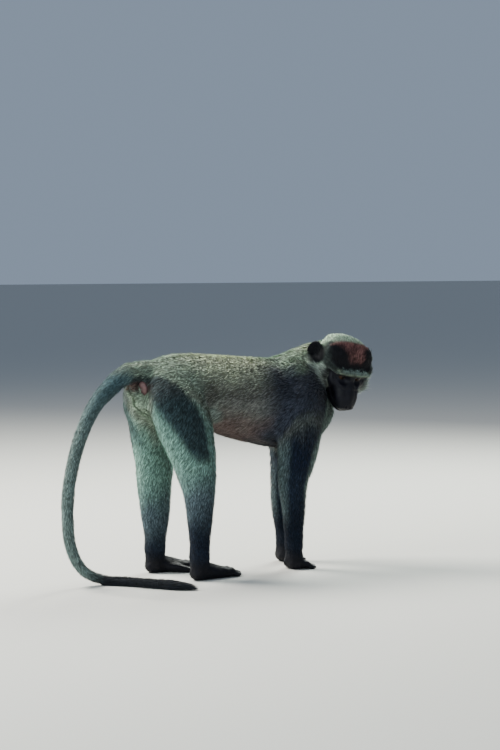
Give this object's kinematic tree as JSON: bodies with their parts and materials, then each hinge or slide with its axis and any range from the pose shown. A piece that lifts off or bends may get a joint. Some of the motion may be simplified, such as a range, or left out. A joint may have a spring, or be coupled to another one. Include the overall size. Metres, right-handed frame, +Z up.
{
  "type": "vervet monkey",
  "caption": "Life-size still model of a vervet monkey standing on hands and feet, head turned and lowered, long tail arched back and laid on the floor.",
  "frame": {"origin": "middle of the model's footprint box, on the floor it stands on", "axes": "+X from tail to chest along the straight trunk, +Y to the animal's left, +Z up"},
  "size_m": [0.5214, 0.2036, 0.3543],
  "materials": {
    "coat_grey": "short dense fur, grizzled olive grey with darker limbs and tail end",
    "coat_pale": "soft off-white fur of the brow band, cheek whiskers, throat, chest and inner limbs",
    "skin_black": "bare or thinly haired black skin of face, ears, hands and feet",
    "eye_brown": "wet gloss, brown iris, black pupil",
    "callosity_pink": "bare pinkish-brown callous skin, fine creases",
    "nail_black": "smooth dark horn, satin"
  },
  "bodies": {
    "root": {"head": "coat_grey", "neck": "coat_grey", "trunk": "coat_grey", "ear_left": "skin_black", "ear_right": "skin_black", "eye_left": "eye_brown", "eye_right": "eye_brown", "callosity_left": "callosity_pink", "callosity_right": "callosity_pink", "left_upper_arm": "coat_grey", "left_forearm": "coat_grey", "left_hand": "skin_black", "right_upper_arm": "coat_grey", "right_forearm": "coat_grey", "right_hand": "skin_black", "left_thigh": "coat_grey", "left_shank": "coat_grey", "left_foot": "skin_black", "right_thigh": "coat_grey", "right_shank": "coat_grey", "right_foot": "skin_black", "tail_root": "coat_grey", "tail_upper": "coat_grey", "tail_middle": "coat_grey", "tail_lower": "coat_grey", "tail_tip": "coat_grey"}
  },
  "joints": []
}
